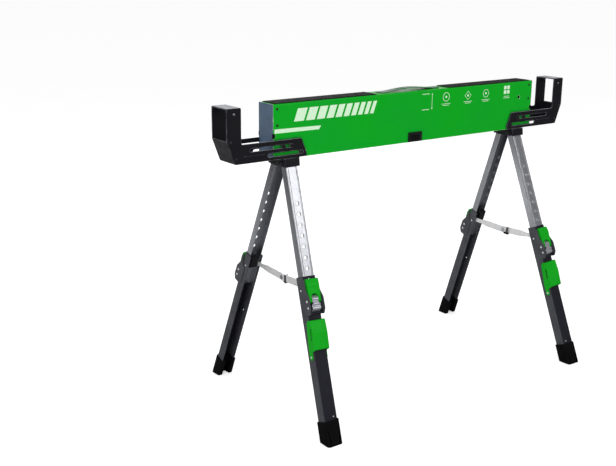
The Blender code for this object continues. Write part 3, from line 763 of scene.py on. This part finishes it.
def leg_frame():
    """The left front leg's frame: origin on its bolt, X across it, Y inwards, Z up along it."""
    up = Vector(JOINTS["left_front_leg_extension"]["axis"]).normalized()
    across = (Vector((1, 0, 0)) - up * up.x).normalized()
    turn = Matrix((across, up.cross(across), up)).transposed().to_4x4()
    return Matrix.Translation(JOINTS["left_front_leg_spread"]["pos_m"]) @ turn


LEG = leg_frame()


def in_leg(point):
    """The point in the leg's frame."""
    return LEG.inverted() @ Vector(point)


def on_leg(mesh):
    """The mesh moved from the leg's frame to where the leg stands."""
    mesh.transform(LEG)
    return mesh


LATCH_PIN = in_leg(JOINTS["left_front_latch_lift"]["pos_m"])
REST_PIVOT = in_leg(JOINTS["left_rest_swing"]["pos_m"])
STRUT_PIVOT = in_leg(JOINTS["left_front_strut_fold"]["pos_m"])

# In the leg's frame: webs and edges lie along Y, and tops, ends and holes along Z from the bolt.
UPPER_WIDTH, UPPER_WEB, UPPER_EDGE, UPPER_SHEET = 0.0354, -0.0080, 0.0125, 0.0018
LOWER_WIDTH, LOWER_WEB, LOWER_EDGE, LOWER_SHEET = 0.0394, -0.0103, 0.0185, 0.0017
UPPER_TOP, UPPER_END = 0.0045, -0.396
LOWER_TOP, LOWER_END = -0.289, -0.688
HOLES = [-0.1063 - 0.0274 * i for i in range(8)]
HOLE_RADIUS = 0.0050
LOWEST_HOLE = HOLES[-1]
NOSE_HOLE_RADIUS = 0.0036
BACK_HOLE = (0.001, -0.485)
LATCH_TOP = -0.2965
REST_TOP, REST_TIP = -0.399, -0.497


def channel(half_width, web, edge, sheet, radius, grooves=()):
    """The outline of a channel open towards +Y; each groove is (middle, half width, depth)."""
    inner = half_width - sheet
    face, radii = [(-half_width, web)], [radius]
    for middle, half, deep in grooves:
        face += [(middle - half, web), (middle - half * 0.45, web + deep)]
        face += [(middle + half * 0.45, web + deep), (middle + half, web)]
        radii += [0.0004] * 4
    face += [(half_width, web), (half_width, edge), (inner, edge), (inner, web + sheet)]
    face += [(-inner, web + sheet), (-inner, edge), (-half_width, edge)]
    lip, bend = 0.0005, radius - sheet
    return rounded(face, radii + [radius, lip, lip, bend, bend, lip, lip], 4)


def upper_leg():
    """Roll-formed zinc-plated channel with two long grooves and a row of holes."""
    offset, half, deep = 0.0118, 0.0016, 0.0013
    grooves = [(side * offset, half, deep) for side in (-1, 1)]
    outline = channel(UPPER_WIDTH / 2, UPPER_WEB, UPPER_EDGE, UPPER_SHEET, 0.0026, grooves)
    leg = sliced(merged(extruded(outline, UPPER_END, UPPER_TOP)), [0, *HOLES])
    drills = [rod((0, UPPER_WEB - 0.01, z), (0, UPPER_WEB + 0.01, z), HOLE_RADIUS) for z in HOLES]
    reach = LEG.inverted().to_3x3() @ Vector((UPPER_WIDTH, 0, 0))
    return on_leg(cut(leg, *drills, rod(-reach, reach, 0.0033)))


def hole_collars():
    """A pressed rim round each of the holes."""
    inner, outer, proud, sunk = HOLE_RADIUS - 0.0001, HOLE_RADIUS + 0.0013, 0.0004, -0.0004
    profile = [(inner, sunk), (outer, sunk), (outer - 0.0003, proud * 0.6), (outer - 0.0006, proud)]
    profile += [(inner + 0.0003, proud), (inner, proud * 0.5), (inner, sunk)]
    rims = [placed(turned(profile, 32), (0, UPPER_WEB, z), (0, -1, 0)) for z in HOLES]
    return on_leg(together(*rims))


def lower_leg(face):
    """Painted channel round the upper leg, with a hole for the latch's nose."""
    outline = channel(LOWER_WIDTH / 2, LOWER_WEB, LOWER_EDGE, LOWER_SHEET, 0.0036)
    y, z = BACK_HOLE
    leg = sliced(merged(extruded(outline, LOWER_END, LOWER_TOP)), [LOWEST_HOLE, z])
    drills = [rod((0, -0.03, LOWEST_HOLE), (0, 0, LOWEST_HOLE), NOSE_HOLE_RADIUS)]
    if face == "back":
        drills.append(rod((-0.03, y, z), (0.03, y, z), 0.0021))
    return on_leg(cut(leg, *drills))


def leg_rivets():
    """The rivets that show on a lower leg: three on each side, and one on its web."""
    flange = (LOWER_WIDTH / 2, 0.0065, -0.3236, 0.0026, 0.0013)
    bracket = (0.0218, -0.0180, -0.3684, 0.0031, 0.0014)
    pivot = (0.0222, LATCH_PIN.y, LATCH_PIN.z, 0.0031, 0.0014)
    rivets = []
    for side in (-1, 1):
        for x, y, z, radius, height in (flange, bracket, pivot):
            rivets.append(placed(domed(radius, height), (side * x, y, z), (side, 0, 0)))
    rivets.append(placed(domed(0.0016, 0.0008), (0.0080, LOWER_WEB, -0.6410), (0, -1, 0)))
    return on_leg(together(*rivets))


def strut_bracket():
    """The dark block inside the upper leg's open side that the strut turns on."""
    y, z = STRUT_PIVOT.y, STRUT_PIVOT.z
    outline = rounded(rectangle(y - 0.006, y + 0.0122, z - 0.006, z + 0.028), [0.003, 0.004, 0.004, 0.003])
    return on_leg(slab_x(outline, -0.0155, 0.0060))


def foot():
    """A rubber boot on the lower leg's end, open along its inner side, with treads below."""
    base, rim, slack = -0.740, -0.640, 0.0003
    corners = rectangle(-0.0235, 0.0235, -0.0142, 0.0225)
    boot = extruded(rounded(corners, [0.008, 0.008, 0.005, 0.005], 8), base, rim)
    pocket = channel(
        LOWER_WIDTH / 2 + slack, LOWER_WEB - slack, LOWER_EDGE + slack, LOWER_SHEET + 2 * slack, 0.0030
    )
    gap = block((-0.0105, 0.0105), (0.002, 0.04), (-0.80, -0.6))
    boot = on_leg(cut(boot, extruded(pocket, LOWER_END - slack, -0.6), gap))
    below_floor = block((-0.8, 0.2), (-0.8, 0.2), (-0.2, 0))
    up = LEG.to_3x3() @ Vector((0, 0, 1))
    lean = Matrix.Rotation(-math.atan2(up.y, up.z), 4, "X")
    above_rim = block((-0.1, 0.1), (-0.1, 0.1), (0, 0.1))
    above_rim.transform(Matrix.Translation(LEG @ Vector((0, 0, rim - 0.009))) @ lean)
    treads = [rod((-0.6, y, 0), (-0.3, y, 0), 0.0010, 12) for y in (-0.284, -0.276, -0.268, -0.260, -0.252)]
    return cut(boot, below_floor, above_rim, *treads)


def latch():
    """The thumb latch: a crowned pad with finger ridges, an arch between two prongs, and a nose."""
    y, z = LATCH_PIN.y, LATCH_PIN.z
    profile = [(-0.0128, LATCH_TOP), (-0.0198, LATCH_TOP), (-0.0236, -0.3110), (-0.0220, z)]
    profile += [(-0.0220, z - 0.0050), (-0.0112, z - 0.0050), (-0.0112, z + 0.012), (-0.0125, -0.318)]
    outline = rounded(profile, [0.0015, 0.003, 0.006, 0, 0.0048, 0.0048, 0, 0])
    pad = slab_x(outline, -0.0178, 0.0178, [circle(y, z, 0.0028)])
    arch = rounded(rectangle(-0.0098, 0.0098, z - 0.02, z + 0.018), [0, 0, 0.0075, 0.0075])
    pad = cut(pad, slab_y(arch, -0.03, 0))
    ridges = []
    for i in range(4):
        ridge_y, ridge_z = -0.0216 - 0.00055 * i, LATCH_TOP - 0.0080 - 0.0042 * i
        ridges.append(rod((-0.0125, ridge_y, ridge_z), (0.0125, ridge_y, ridge_z), 0.0008, 12))
    nose_root = (0, -0.0150, LOWEST_HOLE - 0.0012)
    nose = rod(nose_root, (0, UPPER_WEB - 0.0007, LOWEST_HOLE - 0.0004), 0.0026)
    return on_leg(joined(pad, nose, *ridges))


def spline_point(a, b, c, d, t):
    """A point on the smooth curve through b and c, between its neighbours a and d."""
    linear, square = c - a, 2 * a - 5 * b + 4 * c - d
    cube = 3 * b - a - 3 * c + d
    return 0.5 * (2 * b + linear * t + square * t**2 + cube * t**3)


def latch_spring():
    """The bright leaf spring below the latch, bent in three waves and wider below its neck."""
    bends = [(-0.0112, -0.3365), (-0.0185, -0.3405), (-0.0228, -0.3470), (-0.0212, -0.3530)]
    bends += [(-0.0242, -0.3590), (-0.0222, -0.3650), (-0.0238, -0.3715), (-0.0150, -0.3790)]
    bends = [Vector(bend) for bend in bends]
    curve = [bends[0]]
    for corners in zip([bends[0], *bends], bends, bends[1:], [*bends[2:], bends[-1]]):
        curve += [spline_point(*corners, t) for t in (0.25, 0.5, 0.75, 1.0)]
    half_sheet = 0.0006
    sides = [[], []]
    for i, point in enumerate(curve):
        along = (curve[min(i + 1, len(curve) - 1)] - curve[max(i - 1, 0)]).normalized()
        off = Vector((-along.y, along.x)) * half_sheet
        sides[0].append(point + off)
        sides[1].append(point - off)
    neck = 16  # the point of the curve where the leaf grows wider
    leaf = slab_x(sides[0] + sides[1][::-1], -0.0088, 0.0088)
    wide = slab_x(sides[0][neck:] + sides[1][: neck - 1 : -1], -0.0125, 0.0125)
    return on_leg(joined(leaf, wide))


def board_rest():
    """The flap over the front leg's face, with a slit in each side and its lugs on the stubs."""
    side = [(-0.0180, REST_TOP), (-0.0208, -0.4300), (-0.0185, -0.4740), (-0.0060, -0.4770)]
    side += [(-0.0055, REST_TIP), (0.0075, REST_TIP), (0.0068, -0.4660), (0.0005, -0.4080)]
    side += [(-0.0050, REST_TOP)]
    outline = rounded(side, [0.003, 0.016, 0.003, 0.004, 0.0055, 0.0055, 0.012, 0.006, 0.004])
    whole = slab_x(outline, -0.0228, 0.0228)
    hollow = [(-0.0154, -0.380), (-0.0154, -0.400), (-0.0180, -0.430), (-0.0158, -0.4722)]
    hollow += [(-0.0300, -0.4745), (-0.0300, -0.520), (0.030, -0.520), (0.030, -0.380)]
    shell = cut(whole, slab_x(hollow, -0.0202, 0.0202))
    slit_low, slit_high = -0.4480, -0.4190
    slit = [(-0.0125, slit_low), (-0.0085, slit_low), (-0.0112, slit_high), (-0.0152, slit_high)]
    eye = circle(REST_PIVOT.y, REST_PIVOT.z, 0.0033)
    shell = sliced(merged(shell), [(slit_low + slit_high) / 2, REST_PIVOT.z])
    return on_leg(cut(shell, slab_x(rounded(slit, 0.0014), -0.03, 0.03), slab_x(eye, -0.03, 0.03)))


def rest_rivets():
    rivets = []
    for side in (-1, 1):
        place = (side * 0.0223, REST_PIVOT.y, REST_PIVOT.z)
        rivets.append(placed(domed(0.0029, 0.0012), place, (side, 0, 0)))
    return on_leg(together(*rivets))


def make_legs():
    leg = "{end}_{face}"
    upper, lower = leg + "_upper_leg", leg + "_lower_leg"
    narrow = partial(edged, width=0.0003, whole=False)
    soft = partial(edged, width=0.0009, segments=3)
    repeated(leg + "_inner_leg", upper_leg(), "zinc_plate", upper, node=upper, finish=narrow)
    repeated(leg + "_hole_rims", hole_collars(), "zinc_plate", upper)
    for face in FACES:
        shape = lower_leg(face)
        repeated(leg + "_outer_leg", shape, "charcoal_paint", lower, (face,), lower, narrow)
    repeated(leg + "_leg_rivets", leg_rivets(), "zinc_plate", lower, material=LIT_ZINC)
    repeated(leg + "_strut_bracket", strut_bracket(), "black_plastic", upper, finish=soft)
    repeated(leg + "_rubber_foot", foot(), "foot_rubber", lower, node=leg + "_foot", finish=soft)


def make_latches():
    leg = "{end}_{face}"
    node = leg + "_latch"
    soft = partial(edged, width=0.0006)
    repeated(leg + "_thumb_latch", latch(), "green_plastic", node, node=node, finish=soft)
    repeated(leg + "_latch_spring", latch_spring(), "zinc_plate", leg + "_lower_leg", material=SPRING)


def make_board_rests():
    """The flaps, which only the front legs have."""
    rest = "{end}_board_rest"
    soft = partial(edged, width=0.0009, segments=3, whole=False)
    repeated(rest + "_flap", board_rest(), "green_plastic", rest, ("front",), rest, soft)
    repeated("{end}_rest_rivets", rest_rivets(), "zinc_plate", rest, ("front",), material=LIT_ZINC)


def make_brackets_and_struts():
    for leg in LEGS:
        refined(f"{leg}_latch_bracket", 0.0004)
        refined(f"{leg}_strut", 0.0005, material=LIT_ZINC)


def make_strut_rivets():
    low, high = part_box("left_strut_rivet")
    place = (low + high) / 2
    inboard = placed(domed(0.0060, 0.0016), (high.x - 0.0014, place.y, place.z), (1, 0, 0))
    low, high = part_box("left_front_strut")
    outboard = placed(domed(0.0060, 0.0016), (low.x, place.y, place.z), (-1, 0, 0))
    repeated("{end}_strut_rivet_head", inboard, "zinc_plate", "{end}_back_strut", ("front",))
    repeated("{end}_strut_rivet_tail", outboard, "zinc_plate", "{end}_front_strut", ("front",))


def make_strut_locks():
    """The dark clip on each back link that the front link comes down into."""
    front_low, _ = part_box("left_front_strut")
    back_low, back_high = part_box("left_back_strut")
    rivet_low, rivet_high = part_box("left_strut_rivet")
    z = (rivet_low.z + rivet_high.z) / 2
    across, slack = (-0.0205, -0.0150), 0.0004
    low, high = z - 0.0122, z + 0.0108
    left, right = front_low.x - 0.0018, back_high.x + 0.0018
    base = block((left, right), across, (low, low + 0.0020))
    outboard = block((left, front_low.x - slack), across, (low, high))
    inboard = block((back_high.x + slack, right), across, (low, high))
    root = block((back_low.x, back_high.x), (across[0], -0.003), (low, z - 0.0060))
    lock = joined(base, outboard, inboard, root)
    thin = partial(edged, width=0.0003)
    repeated("{end}_strut_lock", lock, "black_paint", "{end}_back_strut", ("front",), finish=thin)


make_beam()
make_beam_ends()
make_handle_rivets()
make_print()
make_arms()
make_guide_pins()
make_guide_studs()
make_hubs()
make_leg_bolts()
make_legs()
make_latches()
make_board_rests()
make_brackets_and_struts()
make_strut_rivets()
make_strut_locks()
for node, obj in frame["nodes"].items():
    obj.data.materials.clear()
    obj.data.materials.append(PAINTS[SLOT_OF[node]])


# ---------------------------------------------------------------- stage

def area_light(name, place, target, size, power):
    light = bpy.data.lights.new(name, "AREA")
    light.shape = "RECTANGLE"
    light.size, light.size_y = size
    light.energy = power
    obj = bpy.data.objects.new(name, light)
    bpy.context.scene.collection.objects.link(obj)
    obj.location = place
    obj.rotation_euler = (Vector(target) - Vector(place)).to_track_quat("-Z", "Y").to_euler()
    obj.visible_camera = False


def make_lights():
    """A large key at the left, fills around it, and two small panels that light the webs."""
    middle = (0, 0, 0.5)
    area_light("key", (-2.4, -2.2, 3.0), middle, (1.8, 1.8), 52)
    area_light("side", (1.25, -2.75, 1.85), middle, (1.0, 1.1), 13)
    area_light("rear", (0.6, 2.8, 2.4), (0, 0, 0.6), (2.2, 1.2), 18)
    area_light("panel", (-0.31, 0.41, 0.28), (0.45, -0.2, 0.5), (0.24, 0.24), 0.22)
    area_light("back_panel", (-0.85, 1.25, 0.30), (0.45, 0, 0.4), (0.5, 0.5), 0.8)
    area_light("low", (2.6, 3.0, 1.35), (0, 0, 0.8), (3.4, 0.8), 13)


def make_floor():
    """A pale floor that looks white to the camera and grey in reflections."""
    mesh = bpy.data.meshes.new("floor")
    with editing(mesh) as bm:
        bmesh.ops.create_grid(bm, x_segments=1, y_segments=1, size=30)
    floor = bpy.data.objects.new("floor", mesh)
    bpy.context.scene.collection.objects.link(floor)
    paint = Paint("pale_floor", (0.86, 0.86, 0.86), 0.7)
    paint.roughened(paint.noise(3), 0.65, 0.75)
    rays = paint.add("ShaderNodeLightPath")
    paint.tinted(paint.product(rays.outputs["Is Glossy Ray"], 0.9), (0.22, 0.22, 0.23))
    glow = paint.product(rays.outputs["Is Camera Ray"], 0.55)
    paint.shader.inputs["Emission Color"].default_value = (1, 1, 1, 1)
    paint.tree.links.new(glow, paint.shader.inputs["Emission Strength"])
    mesh.materials.append(paint.material)


def make_world():
    """White behind the object, dim in its reflections."""
    world = bpy.data.worlds.new("studio")
    world.use_nodes = True
    nodes, links = world.node_tree.nodes, world.node_tree.links
    path = nodes.new("ShaderNodeLightPath")
    dim, seen = nodes.new("ShaderNodeMix"), nodes.new("ShaderNodeMix")
    dim.inputs["A"].default_value = 0.52
    dim.inputs["B"].default_value = 0.20
    seen.inputs["B"].default_value = 0.93
    links.new(path.outputs["Is Glossy Ray"], dim.inputs["Factor"])
    links.new(dim.outputs["Result"], seen.inputs["A"])
    links.new(path.outputs["Is Camera Ray"], seen.inputs["Factor"])
    background = nodes["Background"]
    background.inputs["Color"].default_value = (1, 1, 1, 1)
    links.new(seen.outputs["Result"], background.inputs["Strength"])
    bpy.context.scene.world = world


def make_camera():
    """The camera at the front left, slightly above the beam, looking a little down."""
    pitch, azimuth, roll = math.radians(15.68), math.radians(-35.85), math.radians(0.415)
    camera = bpy.data.cameras.new("camera")
    camera.sensor_width = 36
    camera.lens = 56.76
    obj = bpy.data.objects.new("camera", camera)
    bpy.context.scene.collection.objects.link(obj)
    turn = Matrix.Rotation(azimuth, 4, "Z") @ Matrix.Rotation(math.pi / 2 - pitch, 4, "X")
    turn = turn @ Matrix.Rotation(roll, 4, "Z")
    obj.matrix_world = Matrix.Translation((-1.768, -1.989, 1.149)) @ turn
    bpy.context.scene.camera = obj


make_camera()
make_floor()
make_world()
make_lights()
bpy.context.scene.view_settings.view_transform = "Standard"
